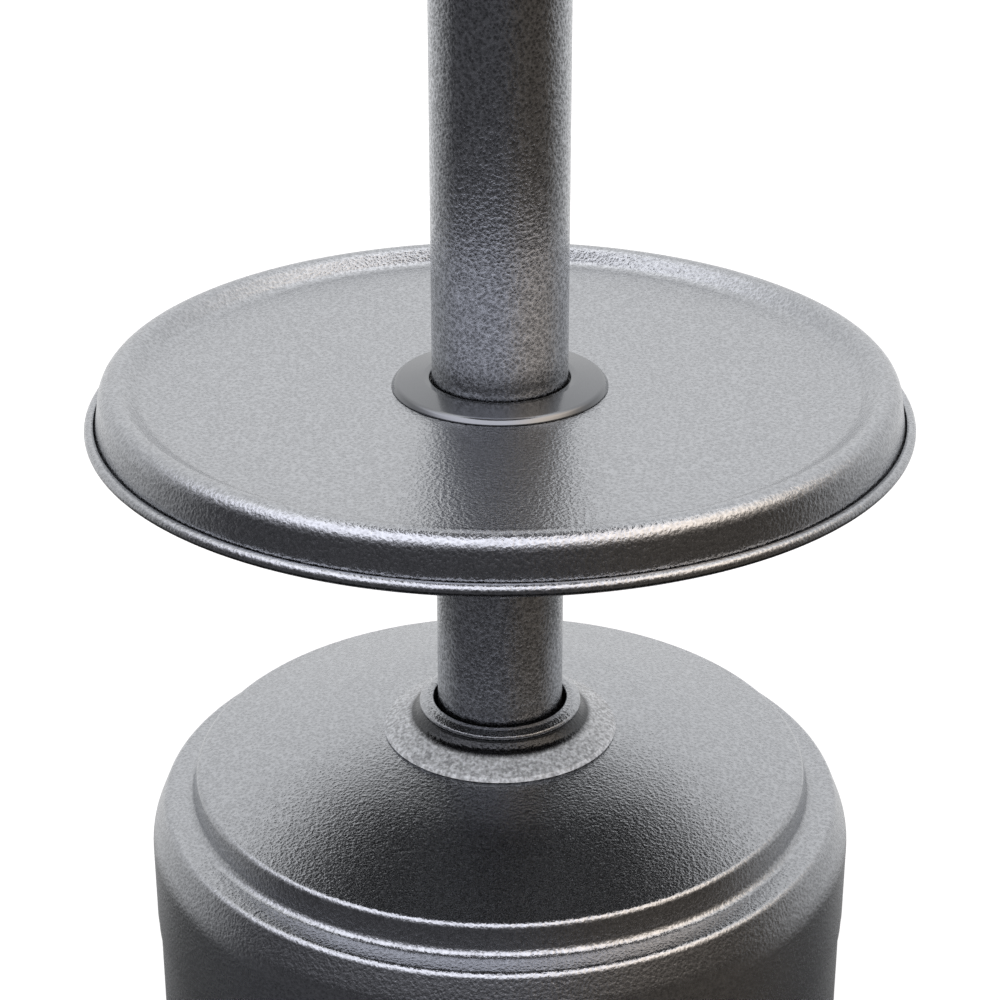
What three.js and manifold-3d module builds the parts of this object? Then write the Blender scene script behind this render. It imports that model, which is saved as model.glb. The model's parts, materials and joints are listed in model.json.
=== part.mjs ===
// Gas patio heater with a round drinks table on its post, built as separate pieces.
// Units are millimetres, +Z is up, and the origin is on the floor below the post's axis.
// The control panel faces -Y and the carrying wheels are at +Y.

import * as THREE from 'three';
import { mergeVertices } from 'three/addons/utils/BufferGeometryUtils.js';
import Module from 'manifold-3d';

const wasm = await Module();
wasm.setup();

// ---------------------------------------------------------------- driving dimensions

const SLIP = 0.3; // clearance between pieces that fit together
const SHEET = 1.2; // thickness of the pressed steel shells
const TUBE_WALL = 1.3; // wall of the two post tubes

const TABLE_LEVEL = 859; // lowest point of the table's rolled rim, above the floor
const TABLE_RADIUS = 250;
const TRAY_RADIUS = 214.7;
const TRAY_FLAT = 80; // the tray is flat inside this radius and a little dished outside it
const TRAY_RISE = 19.5; // flat middle of the tray above TABLE_LEVEL
const TRAY_DISH = 2.5; // how much higher the tray is at TRAY_RADIUS
const CREST_CORNER = [238.4, 38.6]; // where the two faces of the raised rim would meet
const CREST_RADIUS = 10.4;
const BEAD_RADIUS = 3.65; // rolled edge
const LOCK_DROP = 8; // axis of the clamp knob below TABLE_LEVEL
const HUB_FLANGE = 6; // thickness of the hub's flange
const TABLE_SCREW_CIRCLE = 56;
const TABLE_SCREW_WAYS = [30, 150, 270];

const UPPER_POST_RADIUS = 41.25;
const UPPER_POST_FOOT = 800;
const UPPER_POST_TOP = 1745;
const LOWER_POST_RADIUS = UPPER_POST_RADIUS - TUBE_WALL - SLIP;
const LOWER_POST_TOP = 1080;
const SOCKET_RADIUS = LOWER_POST_RADIUS - TUBE_WALL - SLIP;
const FLANGE_LEVEL = 568; // underside of the flange that carries the post
const FLANGE_THICKNESS = 5;

const HOUSING_RADIUS = 225;
const STEP_RADIUS = 195; // upper edge of the step pressed into the dome
const HOUSING_SEAM = 515; // lower edge of the dome's skirt
const DOME_BORE = 44.8;
const COLLAR_TOP = 665;
const COLLAR_BORE = 43.5;
const COLLAR_RIM = 74.3;

const CYLINDER_RADIUS = 155;
const CYLINDER_BASE = 90;
const CYLINDER_NECK = 468;

const BASE_RADIUS = 231;
const BASE_UNDERSIDE = 20;
const LEDGE_LEVEL = 58; // the housing stands here
const DECK_LEVEL = 66; // the struts and the gas cylinder stand here
const FOOT_CIRCLE = 186;

const STRUT_RADIUS = 173;
const STRUT_THICKNESS = 4.5;
const STRUT_WIDTH = 30;
const STRUT_FOOT_CIRCLE = 190;
const STRUT_TOP_CIRCLE = 63;
const THREE_WAYS = [90, 210, 330]; // azimuths of the struts and of the reflector's studs

const AXLE_OFFSET = 277; // from the post's axis, towards +Y
const AXLE_LEVEL = 40;
const AXLE_RADIUS = 5;
const AXLE_END = 92; // half the axle's length
const WHEEL_OFFSET = 73; // from the middle of the axle
const WHEEL_RADIUS = 36;

const REGULATOR_OFFSET = 70; // from the post's axis, towards +X
const OUTLET_LEVEL = 486; // gas outlet of the cylinder's valve
const HOSE_RADIUS = 5;

const HEAD_RADIUS = 75;
const HEAD_NECK = 1715;
const HEAD_TOP = 1868;
const KNOB_LEVEL = 1808;
const IGNITER_LEVEL = 1848;
const PANEL_FACE = 79; // distance of the panel's face from the post's axis

const EMITTER_RADIUS = 95;
const EMITTER_TOP = 2100;
const REFLECTOR_RADIUS = 419;
const REFLECTOR_CROWN = 2190;
const REFLECTOR_RIM = 2095;
const STUD_CIRCLE = 60;
const STUD_TOP = 2205;

const BOLT_RADIUS = 4;
const SCREW_RADIUS = 2.3;
const STEM_RADIUS = 4;

const LARGE = 32; // facets round the large shells
const MEDIUM = 24; // facets round the posts and what fits them
const SMALL = 16; // facets round wheels, knobs and fittings
const TINY = 10; // facets round bolts and holes

// ---------------------------------------------------------------- outlines

const radians = (degrees) => THREE.MathUtils.degToRad(degrees);

// A path through corners [r, z, fillet], with each fillet drawn as an arc of `steps` chords.
function filleted(corners, steps = 1) {
  const path = [];
  corners.forEach(([r, z, fillet = 0], i) => {
    const corner = new THREE.Vector2(r, z);
    if (!fillet) {
      path.push(corner);
      return;
    }
    const back = new THREE.Vector2(...corners[i - 1].slice(0, 2)).sub(corner).normalize();
    const ahead = new THREE.Vector2(...corners[i + 1].slice(0, 2)).sub(corner).normalize();
    const half = Math.acos(back.dot(ahead)) / 2;
    const centre = back.clone().add(ahead).normalize().multiplyScalar(fillet / Math.sin(half)).add(corner);
    const first = back.multiplyScalar(fillet / Math.tan(half)).add(corner).sub(centre);
    const last = ahead.multiplyScalar(fillet / Math.tan(half)).add(corner).sub(centre);
    const turn = Math.atan2(first.cross(last), first.dot(last));
    for (let k = 0; k <= steps; k++) {
      path.push(first.clone().rotateAround(new THREE.Vector2(), (turn * k) / steps).add(centre));
    }
  });
  return path;
}

// The path moved sideways by `distance`, to the left of its direction.
function offset(path, distance) {
  return path.map((point, i) => {
    const before = path[Math.max(i - 1, 0)];
    const after = path[Math.min(i + 1, path.length - 1)];
    const come = point.clone().sub(before).normalize();
    const go = after.clone().sub(point).normalize();
    const a = i > 0 ? come : go;
    const b = i < path.length - 1 ? go : come;
    const normal = new THREE.Vector2(-a.y - b.y, a.x + b.x).normalize();
    const stretch = 1 / (normal.x * -a.y + normal.y * a.x);
    return normal.multiplyScalar(distance * stretch).add(point);
  });
}

// The closed outline of a strip that lies between two offsets of a path.
function band(path, near, far) {
  return [...offset(path, near), ...offset(path, far).reverse()];
}

const outline = (corners) => corners.map(([r, z]) => new THREE.Vector2(r, z));

// ---------------------------------------------------------------- solids

// Turns a closed outline of (radius, height) points about the Z axis.
function lathe(points, segments) {
  const anticlockwise = THREE.ShapeUtils.area(points) > 0 ? points : [...points].reverse();
  const closed = [...anticlockwise];
  const start = anticlockwise.findIndex((p, i) => p.x < 1e-6 && anticlockwise.at(i - 1).x < 1e-6);
  if (start >= 0) {
    closed.push(...closed.splice(0, start));
  } else {
    closed.push(anticlockwise[0].clone());
  }
  return new THREE.LatheGeometry(closed, segments).rotateX(Math.PI / 2);
}

// Extrudes a shape along +Z from height `from` to height `to`.
function prism(shape, from, to, curveSegments = 8) {
  const settings = { depth: to - from, bevelEnabled: false, curveSegments };
  return new THREE.ExtrudeGeometry(shape, settings).translate(0, 0, from);
}

// A round bar between two heights on the Z axis.
function bar(radius, from, to, segments = TINY) {
  return lathe(outline([[0, from], [radius, from], [radius, to], [0, to]]), segments);
}

const alongX = (geometry) => geometry.rotateY(Math.PI / 2);
const alongY = (geometry) => geometry.rotateX(-Math.PI / 2);
const towardsFront = (geometry) => geometry.rotateX(Math.PI / 2); // height becomes distance along -Y

// The closed body of a geometry, with coincident vertices merged and empty triangles dropped.
function solidOf(geometry) {
  const bare = geometry.clone();
  bare.deleteAttribute('normal');
  bare.deleteAttribute('uv');
  const merged = mergeVertices(bare, 1e-3);
  const index = merged.index.array;
  const triVerts = [];
  for (let i = 0; i < index.length; i += 3) {
    const [a, b, c] = [index[i], index[i + 1], index[i + 2]];
    if (a !== b && b !== c && c !== a) triVerts.push(a, b, c);
  }
  const mesh = new wasm.Mesh({
    numProp: 3,
    vertProperties: new Float32Array(merged.attributes.position.array),
    triVerts: new Uint32Array(triVerts),
  });
  return new wasm.Manifold(mesh);
}

function geometryOf(solid) {
  const mesh = solid.getMesh();
  const geometry = new THREE.BufferGeometry();
  geometry.setAttribute('position', new THREE.BufferAttribute(mesh.vertProperties, 3));
  geometry.setIndex(new THREE.BufferAttribute(mesh.triVerts, 1));
  geometry.computeVertexNormals();
  return geometry;
}

const join = (first, ...rest) => geometryOf(rest.reduce((a, b) => a.add(solidOf(b)), solidOf(first)));
const cut = (first, ...rest) => geometryOf(rest.reduce((a, b) => a.subtract(solidOf(b)), solidOf(first)));

// Drills for a ring of vertical holes.
function holes(radius, circle, from, to, azimuths = THREE_WAYS) {
  return azimuths.map((azimuth) => {
    const angle = radians(azimuth);
    return bar(radius, from, to, TINY).translate(circle * Math.cos(angle), circle * Math.sin(angle), 0);
  });
}

// A hand grip with rounded lobes and a round hole through it.
function lobed(radius, depth, lobes, from, to, hole = 0) {
  const shape = new THREE.Shape();
  const count = lobes * 6;
  for (let i = 0; i < count; i++) {
    const angle = (2 * Math.PI * i) / count;
    const r = radius - (depth * (1 - Math.cos(lobes * angle))) / 2;
    shape[i ? 'lineTo' : 'moveTo'](r * Math.cos(angle), r * Math.sin(angle));
  }
  if (hole) shape.holes.push(new THREE.Path().absarc(0, 0, hole, 0, 2 * Math.PI, true));
  return prism(shape, from, to, 4);
}

// ---------------------------------------------------------------- materials and nodes

const finish = (color, roughness, metalness) => () =>
  new THREE.MeshStandardMaterial({ color, roughness, metalness });

const hammeredSilver = finish(0x85868c, 0.35, 0.9);
const satinSteel = finish(0x6f7176, 0.3, 1.0);
const brightSteel = finish(0xb4b6ba, 0.25, 1.0);
const aluminium = finish(0xc9cacc, 0.3, 1.0);
const zincPlated = finish(0x9b9d9f, 0.4, 0.9);
const blackPlastic = finish(0x18181a, 0.5, 0.0);
const rubber = finish(0x202022, 0.85, 0.0);
const brass = finish(0xb08d4a, 0.35, 1.0);
const cylinderPaint = finish(0xd9dad6, 0.5, 0.1);

function node(parent, name, geometry, material, azimuth = 0) {
  const mesh = new THREE.Mesh(geometry, material());
  mesh.name = name;
  mesh.rotation.z = radians(azimuth);
  parent.add(mesh);
  return mesh;
}

const group = new THREE.Group();

// A part of the assembly whose pieces are drawn from a level above the floor.
function level(height = 0) {
  const part = new THREE.Group();
  part.position.z = height;
  group.add(part);
  return part;
}

// ---------------------------------------------------------------- base

function basePan() {
  const path = filleted([
    [170, BASE_UNDERSIDE],
    [BASE_RADIUS, BASE_UNDERSIDE, 4],
    [BASE_RADIUS, LEDGE_LEVEL, 5],
    [211, LEDGE_LEVEL],
    [211, DECK_LEVEL],
    [40, DECK_LEVEL],
  ]);
  const pan = lathe(band(path, 0, 1.5), LARGE);
  return cut(pan, ...holes(BOLT_RADIUS + SLIP, STRUT_FOOT_CIRCLE, 60, 70));
}

function ballastPlate() {
  const top = BASE_UNDERSIDE - SLIP;
  return lathe(outline([[60, 12], [200, 12], [200, top], [60, top]]), LARGE);
}

function footPad() {
  const pad = lathe(outline([[0, 0], [13, 0], [15, 3], [15, 12 - SLIP], [0, 12 - SLIP]]), TINY);
  return pad.translate(FOOT_CIRCLE, 0, 0);
}

function wheelBracket() {
  const inner = BASE_RADIUS + SLIP;
  const outer = inner + 3;
  const ear = 58; // half width over the two ears
  const reach = 292;
  const outerAngle = Math.acos((ear - 3) / outer);
  const innerAngle = Math.acos(ear / inner);
  const shape = new THREE.Shape();
  shape.moveTo(ear, reach);
  shape.lineTo(ear - 3, reach);
  shape.absarc(0, 0, outer, outerAngle, Math.PI - outerAngle, false);
  shape.lineTo(3 - ear, reach);
  shape.lineTo(-ear, reach);
  shape.absarc(0, 0, inner, Math.PI - innerAngle, innerAngle, true);
  const drill = alongX(bar(AXLE_RADIUS + SLIP, -70, 70)).translate(0, AXLE_OFFSET, AXLE_LEVEL);
  return cut(prism(shape, 24, 54), drill);
}

function tyre() {
  const r = WHEEL_RADIUS;
  return alongX(lathe(outline([[24, -11], [r - 3, -11], [r, -7], [r, 7], [r - 3, 11], [24, 11]]), SMALL));
}

function wheelHub() {
  const bore = AXLE_RADIUS + SLIP;
  const rim = 24 - SLIP;
  const half = [[rim, 10], [10, 4], [10, 12], [bore, 12]];
  const otherHalf = half.map(([r, x]) => [r, -x]).reverse();
  return alongX(lathe(outline([...otherHalf, ...half]), SMALL));
}

function axleCap() {
  const bore = AXLE_RADIUS + SLIP;
  const inside = AXLE_END + SLIP;
  const profile = [[0, 94], [6, 94], [9, 91], [9, 85.5], [bore, 85.5], [bore, inside], [0, inside]];
  return alongX(lathe(outline(profile), TINY));
}

function buildWheels(parent) {
  node(parent, 'wheel_bracket', wheelBracket(), hammeredSilver);
  const axle = alongX(bar(AXLE_RADIUS, -AXLE_END, AXLE_END)).translate(0, AXLE_OFFSET, AXLE_LEVEL);
  node(parent, 'wheel_axle', axle, zincPlated);
  for (const [side, sign] of [['left', -1], ['right', 1]]) {
    const x = sign * WHEEL_OFFSET;
    node(parent, `tyre_${side}`, tyre(), rubber).position.set(x, AXLE_OFFSET, AXLE_LEVEL);
    node(parent, `wheel_hub_${side}`, wheelHub(), blackPlastic).position.set(x, AXLE_OFFSET, AXLE_LEVEL);
    const cap = node(parent, `axle_cap_${side}`, axleCap(), zincPlated, sign > 0 ? 0 : 180);
    cap.position.set(0, AXLE_OFFSET, AXLE_LEVEL);
  }
}

// ---------------------------------------------------------------- post and its supports

function strut() {
  const half = STRUT_THICKNESS / 2;
  const foot = DECK_LEVEL + SLIP + half;
  const top = FLANGE_LEVEL - SLIP - half;
  const path = filleted([
    [204, foot],
    [STRUT_RADIUS, foot, 8],
    [STRUT_RADIUS, 505, 25],
    [88, top, 12],
    [50, top],
  ]);
  const shape = new THREE.Shape(band(path, -half, half));
  const bent = prism(shape, -STRUT_WIDTH / 2, STRUT_WIDTH / 2).rotateX(Math.PI / 2);
  const footHole = bar(BOLT_RADIUS + SLIP, 60, 80).translate(STRUT_FOOT_CIRCLE, 0, 0);
  const topHole = bar(BOLT_RADIUS + SLIP, 555, 575).translate(STRUT_TOP_CIRCLE, 0, 0);
  return cut(bent, footHole, topHole);
}

// A round-headed bolt whose head rests at `seat` and whose shank reaches down to `end`.
function bolt(circle, seat, end, headRadius = 8, headHeight = 5) {
  const top = seat + headHeight;
  const profile = [
    [0, end], [BOLT_RADIUS, end], [BOLT_RADIUS, seat], [headRadius, seat],
    [headRadius, top - 2], [headRadius - 2.5, top], [0, top],
  ];
  return lathe(outline(profile), TINY).translate(circle, 0, 0);
}

function postFlange() {
  const top = FLANGE_LEVEL + FLANGE_THICKNESS;
  const inner = SOCKET_RADIUS - 2;
  const profile = [
    [inner, FLANGE_LEVEL], [78, FLANGE_LEVEL], [78, top],
    [SOCKET_RADIUS, top], [SOCKET_RADIUS, top + 80], [inner, top + 80],
  ];
  return cut(lathe(outline(profile), MEDIUM), ...holes(BOLT_RADIUS + SLIP, STRUT_TOP_CIRCLE, 560, 580));
}

// The lower tube ends inside the upper one, which stands on a ring swaged into the lower.
function lowerPost() {
  const foot = FLANGE_LEVEL + FLANGE_THICKNESS + SLIP;
  const inner = LOWER_POST_RADIUS - TUBE_WALL;
  const stop = UPPER_POST_FOOT - SLIP;
  const profile = [
    [inner, foot], [LOWER_POST_RADIUS, foot], [LOWER_POST_RADIUS, stop - 9],
    [UPPER_POST_RADIUS, stop - 6], [UPPER_POST_RADIUS, stop], [LOWER_POST_RADIUS, stop],
    [LOWER_POST_RADIUS, LOWER_POST_TOP], [inner, LOWER_POST_TOP],
  ];
  return lathe(outline(profile), MEDIUM);
}

function upperPost() {
  const path = outline([[UPPER_POST_RADIUS, UPPER_POST_FOOT], [UPPER_POST_RADIUS, UPPER_POST_TOP]]);
  return lathe(band(path, 0, TUBE_WALL), MEDIUM);
}

// ---------------------------------------------------------------- gas supply

function gasCylinder() {
  const foot = DECK_LEVEL + SLIP;
  const path = filleted([
    [12.5, CYLINDER_NECK],
    [95, CYLINDER_NECK - 6, 50],
    [CYLINDER_RADIUS, 410, 45],
    [CYLINDER_RADIUS, 140, 45],
    [95, CYLINDER_BASE, 50],
    [0, CYLINDER_BASE],
  ]);
  const vessel = lathe(band(path, -3, 0), MEDIUM);
  const footRing = lathe(outline([[108, foot], [112, foot], [112, 106], [108, 106]]), MEDIUM);
  const guard = new THREE.Shape();
  guard.absarc(0, 0, 105, radians(45), radians(315), false);
  guard.absarc(0, 0, 102, radians(315), radians(45), true);
  return join(vessel, footRing, prism(guard, 453, 521, 18));
}

function tankValve() {
  const body = [[0, 458], [12.2, 458], [12.2, 500], [4, 503], [4, 519], [0, 519]];
  const outlet = alongX(bar(8, 4, 36)).translate(0, 0, OUTLET_LEVEL);
  return join(lathe(outline(body), TINY), outlet);
}

function regulator() {
  const body = [[0, 474], [22, 474], [26, 480], [26, 492], [20, 500], [0, 500]];
  const disc = lathe(outline(body), SMALL).translate(REGULATOR_OFFSET, 0, 0);
  const inlet = alongX(bar(7, 36 + SLIP, 50)).translate(0, 0, OUTLET_LEVEL);
  const outlet = bar(6, 495, 512).translate(REGULATOR_OFFSET, 0, 0);
  return join(disc, inlet, outlet);
}

function gasHose() {
  const route = new THREE.CatmullRomCurve3([
    new THREE.Vector3(REGULATOR_OFFSET, 0, 513.5),
    new THREE.Vector3(REGULATOR_OFFSET, 0, 528),
    new THREE.Vector3(50, 0, 546),
    new THREE.Vector3(20, 0, 560),
    new THREE.Vector3(4, 0, 600),
    new THREE.Vector3(0, 0, 700),
    new THREE.Vector3(0, 0, 1650),
    new THREE.Vector3(0, -12, 1730),
    new THREE.Vector3(0, -38, 1762),
    new THREE.Vector3(0, -40, 1780),
  ]);
  const section = new THREE.Shape().absarc(0, 0, HOSE_RADIUS, 0, 2 * Math.PI, false);
  return new THREE.ExtrudeGeometry(section, { steps: 28, extrudePath: route, curveSegments: 4 });
}

// ---------------------------------------------------------------- housing round the gas cylinder

function housingDome() {
  const skirt = HOUSING_RADIUS;
  const path = filleted([
    [DOME_BORE, 646.5],
    [120, 636.3, 400],
    [STEP_RADIUS, 620.6, 4.5],
    [STEP_RADIUS + 3.3, 602.2, 6],
    [STEP_RADIUS + 21, 601.2, 5],
    [skirt, 579, 36],
    [skirt, HOUSING_SEAM],
  ], 2);
  return lathe(band(path, -SHEET, 0), LARGE);
}

function housingWall() {
  const radius = HOUSING_RADIUS - SHEET - SLIP;
  const path = outline([[radius, LEDGE_LEVEL + SLIP], [radius, HOUSING_SEAM + 15]]);
  return lathe(band(path, 0, SHEET), LARGE);
}

function domeCollar() {
  const path = filleted([
    [COLLAR_BORE, COLLAR_TOP - 10],
    [COLLAR_BORE, COLLAR_TOP],
    [52, COLLAR_TOP],
    [50.5, COLLAR_TOP - 7],
    [58, COLLAR_TOP - 13, 12],
    [COLLAR_RIM, COLLAR_TOP - 19.5],
  ]);
  return lathe(band(path, -1.5, 0), MEDIUM);
}

// ---------------------------------------------------------------- table

const screwHoles = (from, to) => holes(SCREW_RADIUS + SLIP, TABLE_SCREW_CIRCLE, from, to, TABLE_SCREW_WAYS);

// The tray, its raised rim, the outer wall and the edge rolled outwards and up, in one pressing.
function tableTop() {
  const centre = TABLE_RADIUS - BEAD_RADIUS;
  const inside = BEAD_RADIUS - SHEET;
  const roll = new THREE.EllipseCurve(centre, BEAD_RADIUS, inside, inside, radians(180), radians(480));
  const path = filleted([
    [UPPER_POST_RADIUS + 2.75, TRAY_RISE],
    [TRAY_FLAT, TRAY_RISE],
    [TRAY_RADIUS, TRAY_RISE + TRAY_DISH, 12],
    [...CREST_CORNER, CREST_RADIUS],
    [centre - inside, BEAD_RADIUS],
  ], 4);
  const pressed = lathe(band([...path, ...roll.getPoints(8).slice(1)], -SHEET, 0), LARGE);
  return cut(pressed, ...screwHoles(0, 40));
}

function tableFlange() {
  const foot = TRAY_RISE + SLIP;
  const profile = [
    [42.2, foot], [65.6, foot], [65.6, foot + 1.8], [64.2, foot + 2.8],
    [46, foot + 5.6], [43, foot + 5.6], [42.2, foot + 4.8],
  ];
  return cut(lathe(outline(profile), MEDIUM), ...screwHoles(10, foot + 2.8));
}

function tableHub() {
  const bore = UPPER_POST_RADIUS + SLIP;
  const top = TRAY_RISE - SHEET - SLIP;
  const under = top - HUB_FLANGE;
  const profile = [[bore, -27], [48, -27], [48, under], [70, under], [70, top], [bore, top]];
  const clampHole = alongY(bar(BOLT_RADIUS + SLIP, 30, 60)).translate(0, 0, -LOCK_DROP);
  return cut(lathe(outline(profile), MEDIUM), ...screwHoles(0, 30), clampHole);
}

function tableScrew() {
  const seat = TRAY_RISE - SHEET - 2 * SLIP - HUB_FLANGE;
  const end = TRAY_RISE + SLIP + 2.5;
  const profile = [
    [0, seat - 4], [3.5, seat - 4], [4.5, seat - 3], [4.5, seat],
    [SCREW_RADIUS, seat], [SCREW_RADIUS, end], [0, end],
  ];
  return lathe(outline(profile), TINY).translate(TABLE_SCREW_CIRCLE, 0, 0);
}

function lockKnob() {
  const shank = alongY(bar(BOLT_RADIUS, UPPER_POST_RADIUS + 0.75, 58));
  const grip = alongY(lobed(16, 4, 5, 56, 74));
  return join(shank, grip);
}

// ---------------------------------------------------------------- control head

function headHousing() {
  const neck = UPPER_POST_RADIUS + SLIP + 1.5;
  const path = filleted([
    [neck, HEAD_NECK],
    [neck, 1760, 6],
    [HEAD_RADIUS, 1775, 6],
    [HEAD_RADIUS, HEAD_TOP, 4],
    [50, HEAD_TOP],
  ]);
  const can = lathe(band(path, 0, 1.5), MEDIUM);
  const stemHole = towardsFront(bar(5, 60, 90)).translate(0, 0, KNOB_LEVEL);
  const igniterHole = towardsFront(bar(7, 60, 90)).translate(0, 0, IGNITER_LEVEL);
  return cut(can, stemHole, igniterHole);
}

// An oblong escutcheon hollowed at the back to sit on the round housing.
function controlPanel() {
  const half = 27;
  const shape = new THREE.Shape();
  shape.absarc(0, KNOB_LEVEL + 2, half, 0, Math.PI, true);
  shape.absarc(0, IGNITER_LEVEL - 12, half, Math.PI, 0, true);
  const plate = towardsFront(prism(shape, 55, PANEL_FACE, 10));
  const seat = bar(HEAD_RADIUS + SLIP, HEAD_NECK, HEAD_TOP, MEDIUM);
  const stemHole = towardsFront(bar(4.6, 50, 90)).translate(0, 0, KNOB_LEVEL);
  const igniterHole = towardsFront(bar(6.3, 50, 90)).translate(0, 0, IGNITER_LEVEL);
  return cut(plate, seat, stemHole, igniterHole);
}

function controlValve() {
  const block = new THREE.BoxGeometry(34, 30, 44).translate(0, -40, KNOB_LEVEL - 5);
  const nose = towardsFront(bar(8, 50, 66, 16)).translate(0, 0, KNOB_LEVEL);
  const bore = towardsFront(bar(STEM_RADIUS + SLIP, 50, 70)).translate(0, 0, KNOB_LEVEL);
  return cut(join(block, nose), bore);
}

function valveStem() {
  return towardsFront(bar(STEM_RADIUS, 58, 100)).translate(0, 0, KNOB_LEVEL);
}

function controlKnob() {
  const skirt = bar(21, 85, 90, SMALL);
  const grip = lobed(18, 2.5, 6, 88, 106);
  const pointer = new THREE.BoxGeometry(3, 19, 2).translate(0, 9, 107);
  const bore = bar(STEM_RADIUS + SLIP, 80, 100 + SLIP);
  return towardsFront(cut(join(skirt, grip, pointer), bore)).translate(0, 0, KNOB_LEVEL);
}

function igniterBody() {
  const body = bar(9, 40, 72, 16);
  const bore = bar(6 + SLIP, 52, 80, 16);
  return towardsFront(cut(body, bore)).translate(0, 0, IGNITER_LEVEL);
}

function igniterButton() {
  const profile = [[0, 58], [6, 58], [6, 84.5], [9, 84.5], [9, 90], [7, 92], [0, 92]];
  return towardsFront(lathe(outline(profile), 16)).translate(0, 0, IGNITER_LEVEL);
}

// ---------------------------------------------------------------- burner and reflector

function burner() {
  const path = filleted([[15, 1845], [15, 1884], [66, 1884, 4], [66, 1900, 4], [0, 1900]]);
  return lathe(band(path, 0, 1.5), MEDIUM);
}

function pilotAssembly() {
  const foot = HEAD_TOP + 2 * SLIP + SHEET + 0.1;
  const tube = bar(4, foot, 1912).translate(78, -8, 0);
  const probe = bar(2.5, foot, 1916).translate(78, 8, 0);
  const bridge = new THREE.BoxGeometry(6, 20, 3).translate(78, 0, 1896);
  return join(tube, probe, bridge);
}

function emitterBase() {
  const foot = HEAD_TOP + SLIP;
  const path = filleted([[20, foot], [EMITTER_RADIUS + 3, foot, 1], [EMITTER_RADIUS + 3, foot + 12]]);
  return lathe(band(path, 0, SHEET), MEDIUM);
}

function emitterScreen() {
  const foot = HEAD_TOP + 2 * SLIP + SHEET;
  return lathe(band(outline([[EMITTER_RADIUS, foot], [EMITTER_RADIUS, EMITTER_TOP]]), 0, 1.5), MEDIUM);
}

function emitterCap() {
  const top = EMITTER_TOP + SLIP + SHEET;
  const path = filleted([[EMITTER_RADIUS + 3, top - 10], [EMITTER_RADIUS + 3, top, 1], [0, top]]);
  return lathe(band(path, 0, SHEET), MEDIUM);
}

function reflector() {
  const path = filleted([
    [0, REFLECTOR_CROWN],
    [90, REFLECTOR_CROWN, 40],
    [398, 2110, 40],
    [REFLECTOR_RADIUS, REFLECTOR_RIM],
  ]);
  return cut(lathe(band(path, -SHEET, 0), LARGE), ...holes(3.4, STUD_CIRCLE, 2180, 2200));
}

function reflectorStud() {
  const foot = EMITTER_TOP + SHEET + 2 * SLIP;
  const shoulder = REFLECTOR_CROWN - SHEET - SLIP;
  const profile = [[0, foot], [5, foot], [5, shoulder], [3, shoulder], [3, STUD_TOP], [0, STUD_TOP]];
  return lathe(outline(profile), TINY).translate(STUD_CIRCLE, 0, 0);
}

function wingNut() {
  const foot = REFLECTOR_CROWN + SLIP;
  const boss = bar(7, foot, foot + 7);
  const wings = new THREE.BoxGeometry(3, 32, 9).translate(0, 0, foot + 8.5);
  const bore = bar(3 + SLIP, foot - 5, foot + 20);
  return cut(join(boss, wings), bore).translate(STUD_CIRCLE, 0, 0);
}

// ---------------------------------------------------------------- assembly

const floor = level();
node(floor, 'base_pan', basePan(), hammeredSilver);
node(floor, 'ballast_plate', ballastPlate(), zincPlated);
[45, 135, 225, 315].forEach((azimuth, i) => node(floor, `foot_pad_${i + 1}`, footPad(), rubber, azimuth));
buildWheels(floor);

THREE_WAYS.forEach((azimuth, i) => {
  const deck = DECK_LEVEL + SLIP + STRUT_THICKNESS + SLIP;
  const flange = FLANGE_LEVEL + FLANGE_THICKNESS + SLIP;
  node(floor, `strut_${i + 1}`, strut(), zincPlated, azimuth);
  node(floor, `strut_foot_bolt_${i + 1}`, bolt(STRUT_FOOT_CIRCLE, deck, 58), zincPlated, azimuth);
  node(floor, `strut_top_bolt_${i + 1}`, bolt(STRUT_TOP_CIRCLE, flange, 558), zincPlated, azimuth);
});
node(floor, 'post_flange', postFlange(), zincPlated);
node(floor, 'lower_post', lowerPost(), hammeredSilver);
node(floor, 'upper_post', upperPost(), hammeredSilver);

node(floor, 'gas_cylinder', gasCylinder(), cylinderPaint);
node(floor, 'tank_valve', tankValve(), brass);
node(floor, 'tank_handwheel', lobed(24, 4, 6, 507, 518, 4 + 2 * SLIP), blackPlastic);
node(floor, 'regulator', regulator(), aluminium);
node(floor, 'gas_hose', gasHose(), rubber);

const housing = level();
node(housing, 'housing_dome', housingDome(), hammeredSilver);
node(housing, 'housing_wall', housingWall(), hammeredSilver);
node(housing, 'dome_collar', domeCollar(), hammeredSilver);

const table = level(TABLE_LEVEL);
node(table, 'table_top', tableTop(), hammeredSilver);
node(table, 'table_flange', tableFlange(), satinSteel);
node(table, 'table_hub', tableHub(), zincPlated);
TABLE_SCREW_WAYS.forEach((azimuth, i) => {
  node(table, `table_screw_${i + 1}`, tableScrew(), zincPlated, azimuth);
});
node(table, 'table_lock_knob', lockKnob(), blackPlastic).position.z = -LOCK_DROP;

const head = level();
node(head, 'head_housing', headHousing(), brightSteel);
node(head, 'control_panel', controlPanel(), blackPlastic);
node(head, 'control_valve', controlValve(), brass);
node(head, 'valve_stem', valveStem(), brass);
node(head, 'control_knob', controlKnob(), blackPlastic);
node(head, 'igniter_body', igniterBody(), blackPlastic);
node(head, 'igniter_button', igniterButton(), rubber);
node(head, 'burner', burner(), brightSteel);
node(head, 'pilot_assembly', pilotAssembly(), brass);
node(head, 'emitter_base', emitterBase(), brightSteel);
node(head, 'emitter_screen', emitterScreen(), brightSteel);
node(head, 'emitter_cap', emitterCap(), brightSteel);
node(head, 'reflector', reflector(), aluminium);
THREE_WAYS.forEach((azimuth, i) => {
  node(head, `reflector_stud_${i + 1}`, reflectorStud(), zincPlated, azimuth);
  node(head, `wing_nut_${i + 1}`, wingNut(), zincPlated, azimuth);
});

export default group;
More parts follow.
